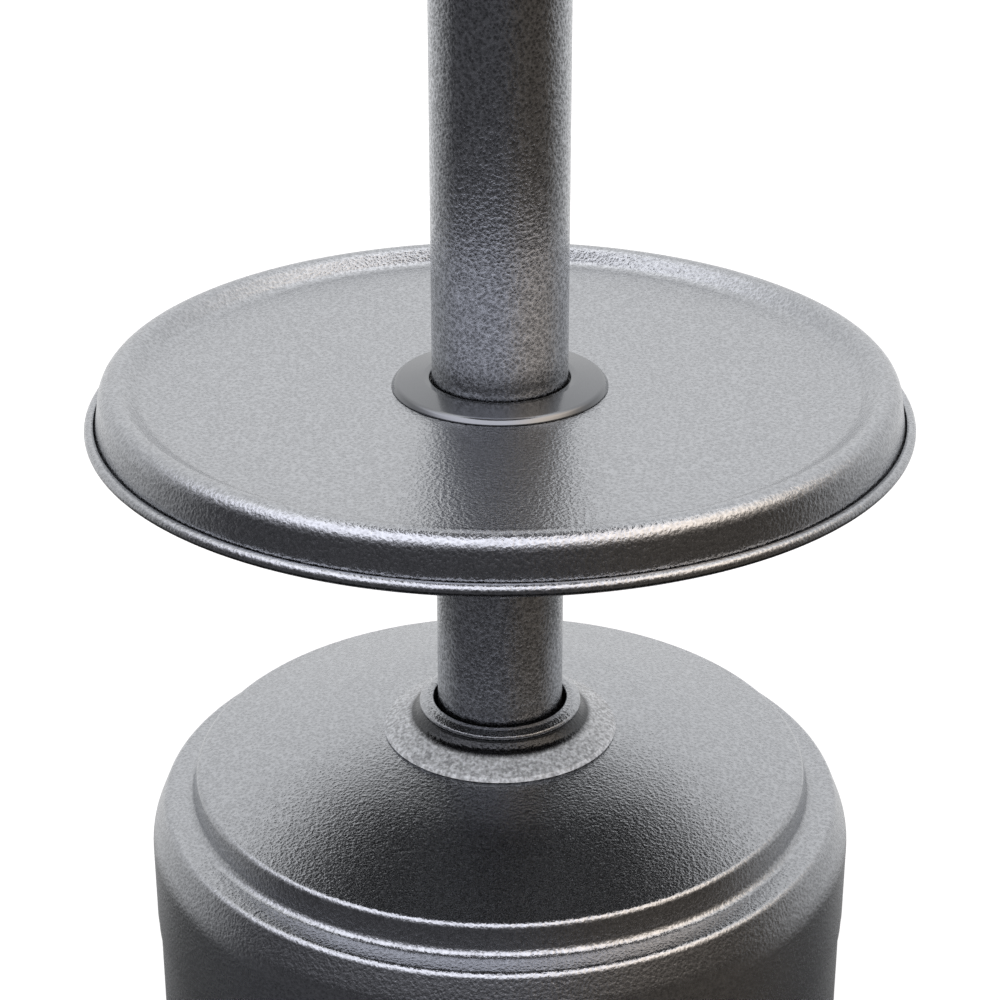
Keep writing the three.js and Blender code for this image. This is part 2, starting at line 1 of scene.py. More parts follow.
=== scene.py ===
"""The visible surfaces of a gas patio heater with a drinks table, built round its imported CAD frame."""

import json
import math

import bmesh
import bpy
from mathutils import Matrix, Vector


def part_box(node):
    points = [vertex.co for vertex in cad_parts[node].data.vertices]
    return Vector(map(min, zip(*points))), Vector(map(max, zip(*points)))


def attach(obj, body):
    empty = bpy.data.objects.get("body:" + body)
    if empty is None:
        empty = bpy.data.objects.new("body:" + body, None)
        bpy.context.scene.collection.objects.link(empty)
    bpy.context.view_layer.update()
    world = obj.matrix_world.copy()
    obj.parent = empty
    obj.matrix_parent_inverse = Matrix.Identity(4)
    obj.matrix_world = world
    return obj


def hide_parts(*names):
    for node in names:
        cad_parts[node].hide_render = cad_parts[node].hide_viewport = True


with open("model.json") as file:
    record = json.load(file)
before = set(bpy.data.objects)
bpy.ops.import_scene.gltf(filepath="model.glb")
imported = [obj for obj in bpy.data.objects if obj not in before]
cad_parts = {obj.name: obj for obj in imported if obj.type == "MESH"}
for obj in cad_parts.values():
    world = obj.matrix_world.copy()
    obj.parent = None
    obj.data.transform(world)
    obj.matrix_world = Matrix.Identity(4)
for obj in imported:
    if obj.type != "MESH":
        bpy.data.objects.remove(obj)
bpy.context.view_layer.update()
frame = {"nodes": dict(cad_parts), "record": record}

MM = 0.001
FINE = 256  # facets round the large shells
ROUND = 128  # facets round the posts and their fittings
WHEEL = 96  # facets round the wheels, the gas cylinder and the control knob
SMALL = 48  # facets round bolts, knobs and fittings
TINY = 32  # facets round screws and drilled holes
CRISP = 32  # edges that turn more than this many degrees stay crisp
ROLLED = 50  # the same on thin sheet, whose small bends turn more at each facet
GAP = 0.3 * MM  # clearance between pieces that touch

LOWER_POST_INSET = 1.6 * MM  # the lower tube's surface inside its stop ring
KNOB_LEVEL = 1808 * MM  # axis of the control knob above the floor
IGNITER_LEVEL = 1848 * MM  # axis of the igniter button
OUTLET_LEVEL = 486 * MM  # axis of the gas cylinder's outlet
REGULATOR_OFFSET = 70 * MM  # from the post's axis towards +X
STRUT_AZIMUTHS = (90, 210, 330)

# Brightness of the studio straight behind, at the sides and in front, by the height of a direction.
BACK_SKY = (
    (-0.8, 0.02), (-0.6, 0.12), (-0.42, 1.0), (-0.15, 1.05),
    (0.0, 0.95), (0.42, 1.04), (0.85, 1.08), (0.95, 2.2),
)
SIDE_SKY = (
    (-0.8, 0.02), (-0.5, 0.1), (-0.42, 0.32), (-0.2, 0.7),
    (0.0, 0.85), (0.42, 0.7), (0.8, 1.05), (0.95, 2.2),
)
FRONT_SKY = (
    (-0.8, 0.03), (-0.55, 0.1), (-0.3, 0.09), (-0.1, 0.05),
    (0.1, 0.1), (0.42, 0.28), (0.55, 0.8), (0.7, 2.1),
)
COOL, WARM = (0.98, 0.98, 1.06), (1.15, 1.0, 0.85)
WHITE = (1.0, 1.0, 1.0, 1.0)
FILL = 1.1  # brightness of the even light that dull surfaces get

BODY_OF = {node: body for body, nodes in frame["record"]["behaviour"]["bodies"].items() for node in nodes}
SLOT_OF = {part["node"]: part["material_slot"] for part in frame["record"]["subparts"]}
COLOR_OF = {entry["slot"]: entry["base_color"][:3] for entry in frame["record"]["materials"]}


# ------------------------------------------------------------------ outlines


def path_through(corners, steps=8):
    """A path through (r, z) corners in metres, a third number being the radius of a fillet there."""
    path = []
    for i, corner in enumerate(corners):
        here = Vector(corner[:2])
        if len(corner) == 2:
            path.append(here)
            continue
        back = (Vector(corners[i - 1][:2]) - here).normalized()
        ahead = (Vector(corners[i + 1][:2]) - here).normalized()
        half = back.angle(ahead) / 2
        centre = here + (back + ahead).normalized() * corner[2] / math.sin(half)
        first = here + back * corner[2] / math.tan(half) - centre
        last = here + ahead * corner[2] / math.tan(half) - centre
        turn = first.angle_signed(last)
        for k in range(steps + 1):
            path.append(centre + Matrix.Rotation(-turn * k / steps, 2) @ first)
    return path


def arc(centre, radius, first, last, steps=12):
    """Points on a circle from one angle to another, in degrees."""
    angles = [math.radians(first + (last - first) * k / steps) for k in range(steps + 1)]
    return [Vector((centre[0] + radius * math.cos(a), centre[1] + radius * math.sin(a))) for a in angles]


def shifted(path, distance):
    """The path moved sideways, to the left of its direction."""
    result = []
    for i, point in enumerate(path):
        come = (point - path[i - 1]).normalized() if i else (path[1] - point).normalized()
        go = (path[i + 1] - point).normalized() if i < len(path) - 1 else come
        normal = Vector((-come.y - go.y, come.x + go.x)).normalized()
        stretch = max(0.3, normal.dot(Vector((-come.y, come.x))))
        result.append(point + normal * distance / stretch)
    return result


def sheet(path, thickness):
    """The closed outline of a sheet whose visible face is the path and whose metal is on its left."""
    return list(path) + shifted(path, thickness)[::-1]


def in_mm(corners, base=0.0):
    """Corners given in millimetres, with heights counted from a level in metres."""
    return [(c[0] * MM, base + c[1] * MM, *(r * MM for r in c[2:])) for c in corners]


# ------------------------------------------------------------------ meshes


def object_from(name, bm, sharp=CRISP):
    """An object from a bmesh, with normals out and edges over `sharp` degrees kept crisp."""
    bmesh.ops.recalc_face_normals(bm, faces=bm.faces)
    mesh = bpy.data.meshes.new(name)
    bm.to_mesh(mesh)
    bm.free()
    mesh.shade_smooth()
    mesh.set_sharp_from_angle(angle=math.radians(sharp))
    obj = bpy.data.objects.new(name, mesh)
    bpy.context.scene.collection.objects.link(obj)
    return obj


def turn_into(bm, outline, segments):
    """Adds the solid that a closed (r, z) outline sweeps about the Z axis."""
    rings = []
    for r, z in outline:
        if r < 1e-7:
            rings.append([bm.verts.new((0, 0, z))] * segments)
            continue
        ring = []
        for k in range(segments):
            angle = 2 * math.pi * k / segments
            ring.append(bm.verts.new((r * math.sin(angle), -r * math.cos(angle), z)))
        rings.append(ring)
    for i, ring in enumerate(rings):
        after = rings[(i + 1) % len(rings)]
        for k in range(segments):
            corners = [ring[k], ring[(k + 1) % segments], after[(k + 1) % segments], after[k]]
            unique = list(dict.fromkeys(corners))
            if len(unique) > 2:
                bm.faces.new(unique)


def turned(name, outline, segments=SMALL, axis="Z", at=(0, 0, 0), sharp=CRISP):
    """A turned solid, its axis laid along X, Y or Z and moved to a place."""
    bm = bmesh.new()
    turn_into(bm, outline, segments)
    lay(bm, axis, at)
    return object_from(name, bm, sharp)


def lay(bm, axis="Z", at=(0, 0, 0)):
    """Turns everything built along Z to point along another axis, and moves it to a place."""
    turns = {
        "Z": Matrix(),
        "X": Matrix.Rotation(math.pi / 2, 4, "Y"),
        "-X": Matrix.Rotation(-math.pi / 2, 4, "Y"),
        "Y": Matrix.Rotation(-math.pi / 2, 4, "X"),
        "-Y": Matrix.Rotation(math.pi / 2, 4, "X"),
    }
    bmesh.ops.transform(bm, matrix=Matrix.Translation(at) @ turns[axis], verts=bm.verts)


def prism_into(bm, points, low, high):
    """Adds a flat (x, y) outline extruded along Z from one height to another."""
    bottom = [bm.verts.new((x, y, low)) for x, y in points]
    top = [bm.verts.new((x, y, high)) for x, y in points]
    bm.faces.new(bottom[::-1])
    bm.faces.new(top)
    count = len(points)
    for i in range(count):
        bm.faces.new([bottom[i], bottom[(i + 1) % count], top[(i + 1) % count], top[i]])


def prism(name, points, low, high, axis="Z", at=(0, 0, 0)):
    """A flat outline given thickness, laid along an axis and moved to a place."""
    bm = bmesh.new()
    prism_into(bm, points, low, high)
    lay(bm, axis, at)
    return object_from(name, bm)


def box_into(bm, size, where):
    """Adds a box of a size, placed by a matrix."""
    corners = bmesh.ops.create_cube(bm, size=1.0)["verts"]
    bmesh.ops.transform(bm, matrix=where @ Matrix.Diagonal((*size, 1)), verts=corners)


def drill_into(bm, radius, length, where, segments=TINY):
    """Adds a drill: a cylinder along Z with its middle at the origin, then placed by a matrix."""
    drill = bmesh.ops.create_cone(
        bm, cap_ends=True, segments=segments, radius1=radius, radius2=radius, depth=length)["verts"]
    bmesh.ops.transform(bm, matrix=where, verts=drill)


def spun(obj, azimuth):
    """Turns a piece's mesh about the Z axis of the post."""
    obj.data.transform(Matrix.Rotation(math.radians(azimuth), 4, "Z"))
    return obj


def soften(obj, width, segments=3):
    """Rounds the piece's crisp edges."""
    bevel = obj.modifiers.new("edge_radius", "BEVEL")
    bevel.width = width
    bevel.segments = segments
    bevel.limit_method = "ANGLE"
    bevel.angle_limit = math.radians(35)
    return obj


def baked(obj):
    """Applies the piece's modifiers to its mesh and keeps its new edges crisp."""
    bpy.context.view_layer.update()
    shape = obj.evaluated_get(bpy.context.evaluated_depsgraph_get())
    mesh = bpy.data.meshes.new_from_object(shape)
    mesh.set_sharp_from_angle(angle=math.radians(CRISP))
    obj.modifiers.clear()
    obj.data = mesh
    return obj


def combined(obj, other, operation):
    """Joins or cuts a piece with another closed mesh, which is used up."""
    step = obj.modifiers.new("boolean", "BOOLEAN")
    step.operation = operation
    step.solver = "EXACT"
    step.object = other
    baked(obj)
    bpy.data.objects.remove(other)
    return obj


def put(obj, *nodes, material=None):
    """Makes the piece stand for CAD nodes: it takes their body, their material slot and its finish."""
    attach(obj, BODY_OF[nodes[0]])
    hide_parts(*nodes)
    slot = SLOT_OF[nodes[0]]
    obj.data.materials.clear()
    obj.data.materials.append(material or FINISHES[slot])
    return obj


# ------------------------------------------------------------------ materials


def make(tree, kind, *slots, settings=None, **named):
    """Adds a shader node. Positional and named inputs are values, or sockets to link."""
    node = tree.nodes.new("ShaderNode" + kind)
    for key, value in (settings or {}).items():
        setattr(node, key, value)
    pairs = [(node.inputs[i], value) for i, value in enumerate(slots)]
    pairs += [(node.inputs[key.replace("_", " ")], value) for key, value in named.items()]
    for socket, value in pairs:
        if isinstance(value, bpy.types.NodeSocket):
            tree.links.new(value, socket)
        elif value is not None:
            socket.default_value = value
    return node


def plus(tree, a, b):
    return make(tree, "Math", a, b, settings={"operation": "ADD"}).outputs[0]


def times(tree, a, b):
    return make(tree, "Math", a, b, settings={"operation": "MULTIPLY"}).outputs[0]


def blended(tree, factor, first, second):
    """A colour between two colours."""
    node = make(tree, "Mix", settings={"data_type": "RGBA"})
    for index, value in ((0, factor), (6, first), (7, second)):
        if isinstance(value, bpy.types.NodeSocket):
            tree.links.new(value, node.inputs[index])
        else:
            node.inputs[index].default_value = value if index == 0 else (*value[:3], 1)
    return node.outputs[2]


def ranged(tree, value, low, high, to_low, to_high):
    """A value carried from one range to another, held at its ends."""
    return make(tree, "MapRange", value, low, high, to_low, to_high).outputs[0]


def new_material(name, metallic, roughness, color):
    """A material, its node tree, its shader and the object coordinates that its patterns use."""
    material = bpy.data.materials.new(name)
    material.use_nodes = True
    tree = material.node_tree
    shader = tree.nodes["Principled BSDF"]
    shader.inputs["Metallic"].default_value = metallic
    shader.inputs["Roughness"].default_value = roughness
    shader.inputs["Base Color"].default_value = (*color, 1)
    place = tree.nodes.new("ShaderNodeTexCoord").outputs["Object"]
    return material, tree, shader, place


def bump(tree, shader, height, depth):
    node = make(tree, "Bump", Strength=1.0, Distance=depth, Height=height)
    tree.links.new(node.outputs[0], shader.inputs["Normal"])


def noise(tree, place, scale, detail=2.0, roughness=0.5):
    node = make(tree, "TexNoise", Vector=place, Scale=scale, Detail=detail, Roughness=roughness)
    return node.outputs["Fac"]


def stretched(tree, place, factors):
    """Coordinates scaled along each axis, for lines and streaks."""
    mapping = make(tree, "Mapping", Vector=place)
    mapping.inputs["Scale"].default_value = factors
    return mapping.outputs[0]


def hammered_paint(name, color, mottle=0.2, underside=1.0, cell=2.1 * MM, depth=0.2 * MM):
    """Hammer-finish enamel: shallow dimples about a cell apart, paler on their ridges.

    underside is how bright the faces that look down are beside the rest: they are blended towards near
    black as painted shade."""
    material, tree, shader, place = new_material(name, 1.0, 0.3, color)
    warp = make(tree, "TexNoise", Vector=place, Scale=0.6 / cell, Detail=2.0).outputs["Color"]
    offset = make(tree, "VectorMath", warp, (0.5, 0.5, 0.5), settings={"operation": "SUBTRACT"})
    scaled = make(tree, "VectorMath", offset.outputs[0], settings={"operation": "SCALE"})
    scaled.inputs["Scale"].default_value = 0.9 * cell
    moved = make(tree, "VectorMath", place, scaled.outputs[0], settings={"operation": "ADD"}).outputs[0]
    cells = make(tree, "TexVoronoi", Vector=moved, Scale=1 / cell, Smoothness=0.6,
                 settings={"feature": "SMOOTH_F1"}).outputs["Distance"]
    ripple = noise(tree, place, 2.2 / cell, 1.0)
    height = plus(tree, cells, times(tree, ripple, 0.7))
    dark = [c * (1 - mottle) for c in color]
    pale = [min(1.0, c * (1 + mottle)) for c in color]
    shade = blended(tree, ranged(tree, height, 0.45, 1.1, 0.0, 1.0), dark, pale)
    # Painted shade: faces that look down are blended towards near black by 1 - underside, standing in for
    # the shade under the piece.
    facing = make(tree, "SeparateXYZ", make(tree, "NewGeometry").outputs["Normal"]).outputs["Z"]
    painted_underside_shade = ranged(tree, facing, -0.4, -0.1, 1.0 - underside, 0.0)
    tree.links.new(blended(tree, painted_underside_shade, shade, (0.02, 0.02, 0.02)), shader.inputs["Base Color"])
    tree.links.new(ranged(tree, ripple, 0.3, 0.7, 0.2, 0.3), shader.inputs["Roughness"])
    bump(tree, shader, height, depth)
    return material


def collar_paint(name, color, low, high):
    """The hammered enamel with painted light: on the skirt below it is duller and painted pale with
    brighter flecks as a painted highlight, and in the throat above it a dark band is painted shade.
    """
    material = hammered_paint(name, color)
    tree = material.node_tree
    shader = tree.nodes["Principled BSDF"]
    place = make(tree, "TexCoord").outputs["Object"]
    height = make(tree, "SeparateXYZ", place).outputs["Z"]
    neck = ranged(tree, height, low, high, 0.0, 1.0)
    # Painted highlight: the skirt is painted pale with brighter flecks, standing in for the light it
    # catches.
    painted_glint_flecks = ranged(tree, noise(tree, place, 420.0), 0.35, 0.65, 0.0, 1.0)
    pale = blended(tree, painted_glint_flecks, [c * 0.9 for c in color], [min(1.0, c * 2.1) for c in color])
    enamel = shader.inputs["Base Color"].links[0].from_socket
    # Painted shade: a dark band in the throat under the lip, standing in for the shade in that recess.
    throat = ranged(tree, height, high + 5 * MM, high + 8 * MM, 0.0, 1.0)
    enamel_with_painted_throat_shade = blended(tree, throat, [c * 0.2 for c in color], enamel)
    tree.links.new(blended(tree, neck, pale, enamel_with_painted_throat_shade), shader.inputs["Base Color"])
    tree.links.new(plus(tree, times(tree, neck, 0.9), 0.1), shader.inputs["Metallic"])
    return material


def satin_metal(name, color, roughness=0.3, lines=(900.0, 900.0, 40.0), depth=0.01 * MM):
    """Plain metal with fine drawn lines and a little uneven sheen."""
    material, tree, shader, place = new_material(name, 1.0, roughness, color)
    grain = noise(tree, stretched(tree, place, lines), 1.0, 3.0)
    cloud = noise(tree, place, 14.0, 3.0)
    spread = plus(tree, times(tree, grain, 0.12), times(tree, cloud, 0.14))
    tree.links.new(plus(tree, spread, roughness - 0.13), shader.inputs["Roughness"])
    tint = blended(tree, cloud, [c * 0.9 for c in color], [min(1.0, c * 1.08) for c in color])
    tree.links.new(tint, shader.inputs["Base Color"])
    bump(tree, shader, grain, depth)
    return material


def spun_metal(name, color, roughness=0.28):
    """Metal spun on a lathe: fine rings round the Z axis."""
    material, tree, shader, place = new_material(name, 1.0, roughness, color)
    flat = make(tree, "VectorMath", place, (1, 1, 0), settings={"operation": "MULTIPLY"}).outputs[0]
    radius = make(tree, "VectorMath", flat, settings={"operation": "LENGTH"}).outputs["Value"]
    rings = make(tree, "TexNoise", settings={"noise_dimensions": "1D"}, W=radius, Scale=900.0, Detail=4.0)
    cloud = noise(tree, place, 9.0, 4.0)
    spread = times(tree, plus(tree, rings.outputs["Fac"], cloud), 0.14)
    tree.links.new(plus(tree, spread, roughness - 0.14), shader.inputs["Roughness"])
    bump(tree, shader, rings.outputs["Fac"], 0.02 * MM)
    return material


def zinc_plate(name, color):
    """Bright zinc with faint crystal patches and dull scuffs."""
    material, tree, shader, place = new_material(name, 1.0, 0.38, color)
    spangle = make(tree, "TexVoronoi", Vector=place, Scale=160.0).outputs["Color"]
    level = make(tree, "RGBToBW", spangle).outputs[0]
    scuffs = noise(tree, place, 60.0, 5.0, 0.7)
    shade = blended(tree, level, [c * 0.88 for c in color], [min(1.0, c * 1.1) for c in color])
    tree.links.new(shade, shader.inputs["Base Color"])
    tree.links.new(ranged(tree, scuffs, 0.3, 0.7, 0.28, 0.5), shader.inputs["Roughness"])
    bump(tree, shader, scuffs, 0.02 * MM)
    return material


def moulded(name, color, roughness=0.45, grain=0.6 * MM, depth=0.03 * MM):
    """Moulded plastic or rubber with a fine pebbled skin and dusty high spots."""
    material, tree, shader, place = new_material(name, 0.0, roughness, color)
    pebble = make(tree, "TexVoronoi", Vector=place, Scale=1 / grain).outputs["Distance"]
    dust = noise(tree, place, 45.0, 5.0, 0.65)
    shade = blended(tree, ranged(tree, dust, 0.5, 0.85, 0.0, 0.35), color, [c + 0.06 for c in color])
    tree.links.new(shade, shader.inputs["Base Color"])
    spread = ranged(tree, dust, 0.3, 0.7, roughness - 0.06, roughness + 0.08)
    tree.links.new(spread, shader.inputs["Roughness"])
    bump(tree, shader, pebble, depth)
    return material


def brass_metal(name, color):
    """Machined brass with brown tarnish in patches."""
    material, tree, shader, place = new_material(name, 1.0, 0.3, color)
    tarnish = noise(tree, place, 90.0, 5.0, 0.6)
    shade = blended(tree, ranged(tree, tarnish, 0.45, 0.8, 0.0, 0.8), color, [c * 0.5 for c in color])
    tree.links.new(shade, shader.inputs["Base Color"])
    tree.links.new(ranged(tree, tarnish, 0.3, 0.7, 0.22, 0.45), shader.inputs["Roughness"])
    bump(tree, shader, noise(tree, stretched(tree, place, (60.0, 60.0, 2500.0)), 1.0), 0.01 * MM)
    return material


def tank_enamel(name, color):
    """Sprayed enamel with orange peel and grey scuffs."""
    material, tree, shader, place = new_material(name, 0.0, 0.35, color)
    peel = noise(tree, place, 420.0, 1.0)
    scuff = noise(tree, stretched(tree, place, (20.0, 20.0, 90.0)), 1.0, 6.0, 0.7)
    shade = blended(tree, ranged(tree, scuff, 0.62, 0.75, 0.0, 0.8), color, [c * 0.55 for c in color])
    tree.links.new(shade, shader.inputs["Base Color"])
    tree.links.new(ranged(tree, scuff, 0.5, 0.75, 0.3, 0.6), shader.inputs["Roughness"])
    bump(tree, shader, peel, 0.05 * MM)
    return material


def heat_tinted(name, color, low, high):
    """Stainless sheet turned straw, brown and blue by heat towards its top."""
    material, tree, shader, place = new_material(name, 1.0, 0.32, color)
    height = make(tree, "SeparateXYZ", place).outputs["Z"]
    wander = times(tree, noise(tree, place, 18.0, 3.0), 0.05)
    level = ranged(tree, plus(tree, height, wander), low, high, 0.0, 1.0)
    ramp = make(tree, "ValToRGB", level)
    straw, brown, blue = (0.60, 0.50, 0.34), (0.42, 0.27, 0.20), (0.27, 0.28, 0.36)
    stops = ((0.0, color), (0.45, color), (0.68, straw), (0.84, brown), (1.0, blue))
    ramp.color_ramp.elements.remove(ramp.color_ramp.elements[1])
    for position, tint in stops[1:]:
        ramp.color_ramp.elements.new(position).color = (*tint, 1)
    ramp.color_ramp.elements[0].color = (*color, 1)
    tree.links.new(ramp.outputs[0], shader.inputs["Base Color"])
    bump(tree, shader, noise(tree, place, 700.0), 0.01 * MM)
    return material


def finishes():
    """One finish for each material slot of the record, with the slot's own colour."""
    hammered = hammered_paint("hammered_enamel", COLOR_OF["hammered_paint"])
    return {
        "hammered_paint": hammered,
        "satin_steel": satin_metal("satin_ring_metal", [c * 0.56 for c in COLOR_OF["satin_steel"]], 0.17),
        "stainless": satin_metal("brushed_stainless", COLOR_OF["stainless"], 0.3, (30.0, 30.0, 1600.0)),
        "aluminium": spun_metal("spun_aluminium", [c * 0.72 for c in COLOR_OF["aluminium"]]),
        "zinc": zinc_plate("zinc_plate", COLOR_OF["zinc"]),
        "black_plastic": moulded("black_plastic", COLOR_OF["black_plastic"]),
        "rubber": moulded("black_rubber", COLOR_OF["rubber"], 0.75, 1.2 * MM, 0.06 * MM),
        "tyre_rubber": moulded("tyre_rubber", COLOR_OF["tyre_rubber"], 0.8, 1.6 * MM, 0.1 * MM),
        "brass": brass_metal("machined_brass", COLOR_OF["brass"]),
        "tank_paint": tank_enamel("tank_enamel", COLOR_OF["tank_paint"]),
    }


FINISHES = finishes()


# ------------------------------------------------------------------ table


def build_table():
    """The pressed top with its rolled edge, the smooth ring at the post, and the hub with its screws."""
    low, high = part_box("table_top")
    level, radius = low.z, high.x
    # In millimetres, as the corners are: the tray's level, the sheet and the rolled edge's radius.
    tray, thick, bead = 19.5, 1.1, 3.65
    inside = bead - thick
    centre = (radius - bead * MM, level + bead * MM)
    rim = path_through(in_mm([
        (44, tray),
        (80, tray),
        (214.7, tray + 2.5, 14),
        (238.4, 38.6, 10.4),
        (centre[0] / MM - inside, bead),
    ], level), 12)
    roll = arc(centre, inside * MM, 180, 480, 36)[1:]
    # The tray's faces that look down get painted shade, standing in for the shade under the table.
    enamel = hammered_paint("table_enamel", COLOR_OF["hammered_paint"], underside=0.3)
    outline = sheet(rim + roll, -thick * MM)
    put(turned("table_tray", outline, FINE, sharp=ROLLED), "table_top", material=enamel)

    foot = tray + 0.3
    ring = path_through(in_mm([
        (42.4, foot),
        (42.4, foot + 5.5, 1.4),
        (46.5, foot + 5.6, 3),
        (63.4, foot + 3.3, 4),
        (65.6, foot + 0.4, 1),
        (65.6, foot),
    ], level), 8)
    put(turned("table_ring", ring, FINE, sharp=ROLLED), "table_flange")

    low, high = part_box("table_hub")
    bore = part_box("upper_post")[1].x + GAP
    neck = 48 * MM
    shelf = high.z - 6 * MM
    hub = path_through([
        (bore, low.z), (neck, low.z, 1.5 * MM), (neck, shelf, 3 * MM),
        (high.x, shelf, 1.2 * MM), (high.x, high.z, 1.2 * MM), (bore, high.z),
    ], 5)
    put(turned("table_hub_casting", hub, ROUND), "table_hub")

    for i in range(1, 4):
        low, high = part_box(f"table_screw_{i}")
        middle = (low + high) / 2
        outline = in_mm([(0, 0), (3.2, 0), (4.5, 1.4), (4.5, 4), (2.3, 4)], low.z)
        outline += [(2.3 * MM, high.z), (0, high.z)]
        screw = turned(f"table_screw_{i}_pan_head", outline, TINY, at=(middle.x, middle.y, 0))
        put(screw, f"table_screw_{i}")


def star(radius, depth, lobes, count=120):
    """The outline of a hand grip with rounded lobes."""
    points = []
    for k in range(count):
        angle = 2 * math.pi * k / count
        r = radius - depth * (1 - math.cos(lobes * angle)) / 2
        points.append((r * math.cos(angle), r * math.sin(angle)))
    return points


def build_lock_knob():
    low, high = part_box("table_lock_knob")
    axis = (0, 0, (low.z + high.z) / 2)
    start = high.y - 18 * MM
    grip = soften(prism("table_lock_grip", star(16 * MM, 4 * MM, 5), start, high.y, "Y", axis), 2 * MM)
    stem = 4 * MM
    shank = [(0, low.y), (stem, low.y), (stem, start + MM), (0, start + MM)]
    put(combined(baked(grip), turned("lock_shank", shank, TINY, "Y", axis), "UNION"), "table_lock_knob")


# ------------------------------------------------------------------ post


def build_post():
    wall = 1.3 * MM
    enamel = hammered_paint("post_enamel", COLOR_OF["hammered_paint"], mottle=0.5)

    low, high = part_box("upper_post")
    edge = 0.35 * MM
    outline = path_through([
        (high.x - wall, low.z), (high.x, low.z, edge), (high.x, high.z, edge), (high.x - wall, high.z),
    ], 4)
    put(turned("post_upper_tube", outline, FINE), "upper_post", material=enamel)

    stop = low.z - GAP
    low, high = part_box("lower_post")
    ring = high.x
    radius = ring - LOWER_POST_INSET
    outline = path_through([
        (radius - wall, low.z), (radius, low.z), (radius, stop - 8 * MM, 3 * MM),
        (ring, stop - 5.5 * MM, 1 * MM), (ring, stop, 0.8 * MM), (radius, stop),
        (radius, high.z), (radius - wall, high.z),
    ], 6)
    put(turned("post_lower_tube", outline, FINE), "lower_post", material=enamel)

    low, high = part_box("post_flange")
    thick = 5 * MM
    socket = radius - wall - GAP
    outline = path_through([
        (socket - 2 * MM, low.z), (high.x, low.z, MM), (high.x, low.z + thick, MM),
        (socket, low.z + thick, 2 * MM), (socket, high.z, 0.6 * MM), (socket - 2 * MM, high.z),
    ], 5)
    put(turned("post_flange_plate", outline, ROUND), "post_flange")


# ------------------------------------------------------------------ housing of the gas cylinder


def build_dome():
    low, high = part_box("housing_dome")
    rim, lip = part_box("dome_collar")[1].xz
    skirt = high.x / MM
    seam = (low.z - lip) / MM
    dome = path_through(in_mm([
        (44.8, -18.5),
        (120, -28.6, 400),
        (195, -44.4, 4.5),
        (198.3, -62.8, 6),
        (216, -63.8, 5),
        (skirt, -86, 36),
        (skirt, seam + 9, 0.8),
        (skirt - 0.5, seam + 8, 0.8),
        (skirt - 0.5, seam),
    ], lip), 14)
    put(turned("dome_shell", sheet(dome, -0.6 * MM), FINE, sharp=ROLLED), "housing_dome")

    bore = 42.4
    rim /= MM
    neck = path_through(in_mm([
        (bore, -10),
        (bore, 0, 1.2),
        (46.8, 0, 3),
        (52.3, -2.6, 2),
        (50.4, -6, 2),
        (54, -10.6, 7),
        (rim - 1.2, -18.9, 1.4),
        (rim, -21.4),
    ], lip), 8)
    # The collar gets a painted highlight on its skirt and a band of painted shade in its throat.
    paint = collar_paint("hammered_collar", COLOR_OF["hammered_paint"], lip - 13 * MM, lip - 11.5 * MM)
    put(turned("dome_collar_ring", sheet(neck, -1.1 * MM), FINE, sharp=55), "dome_collar", material=paint)


def build_wall():
    """A plain cylinder with a folded hem and a row of upright air slots near its foot."""
    low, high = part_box("housing_wall")
    radius = high.x
    hem = 3.2 * MM
    foot = low.z + 0.1 * MM
    slots_from, slots_to = low.z + 24 * MM, low.z + 66 * MM
    path = path_through([
        (radius - hem, low.z + hem), (radius - hem, foot, 0.8 * MM), (radius, foot, 1.4 * MM),
        (radius, slots_from), (radius, slots_to), (radius, high.z),
    ], 6)
    wall = turned("housing_wall_shell", sheet(path, 0.8 * MM), FINE)
    slots = bmesh.new()
    count = 24
    for k in range(count):
        turn = Matrix.Rotation(2 * math.pi * (k + 0.5) / count, 4, "Z")
        middle = Matrix.Translation((0, radius, (slots_from + slots_to) / 2))
        box_into(slots, (5 * MM, 40 * MM, 34 * MM), turn @ middle)
    put(combined(wall, object_from("slots", slots), "DIFFERENCE"), "housing_wall")


# ------------------------------------------------------------------ base


def build_base():
    low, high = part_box("base_pan")
    edge, deck, under = high.x, high.z, low.z
    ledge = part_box("housing_wall")[0].z - GAP
    plinth = 211 * MM
    path = path_through([
        (170 * MM, under), (edge, under, 4 * MM), (edge, ledge, 5 * MM), (plinth, ledge, 1.5 * MM),
        (plinth, deck, 2 * MM), (40 * MM, deck),
    ], 8)
    put(turned("base_pan_pressing", sheet(path, 1.4 * MM), FINE, sharp=ROLLED), "base_pan")

    low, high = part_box("ballast_plate")
    hole = 60 * MM
    plate = path_through([(hole, low.z), (high.x, low.z, MM), (high.x, high.z, MM), (hole, high.z)], 3)
    put(turned("ballast_disc", plate, ROUND), "ballast_plate")

    pad = path_through(in_mm([
        (0, 0), (13, 0, 1.5), (15, 3.2, 2), (15, 8), (14.2, 8.4, 0.3), (14.2, 9.2, 0.3), (15, 9.6),
        (15, 11.7), (0, 11.7),
    ]), 4)
    for i in range(1, 5):
        low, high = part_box(f"foot_pad_{i}")
        middle = (low + high) / 2
        put(turned(f"foot_pad_{i}_rubber", pad, SMALL, at=(middle.x, middle.y, low.z)), f"foot_pad_{i}")


def build_wheels():
    low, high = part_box("wheel_axle")
    y, z = (low.y + high.y) / 2, (low.z + high.z) / 2
    rod, edge = 5 * MM, 0.8 * MM
    shaft = path_through([(0, low.x), (rod, low.x, edge), (rod, high.x, edge), (0, high.x)], 4)
    put(turned("wheel_axle_rod", shaft, SMALL, "X", (0, y, z)), "wheel_axle")
    for side in ("left", "right"):
        low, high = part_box(f"tyre_{side}")
        build_wheel(side, ((low.x + high.x) / 2, y, z))
        build_axle_cap(side, (0, y, z))
    bracket = frame["nodes"]["wheel_bracket"]
    bracket.data.materials.clear()
    bracket.data.materials.append(FINISHES["hammered_paint"])
    soften(bracket, 0.7 * MM)


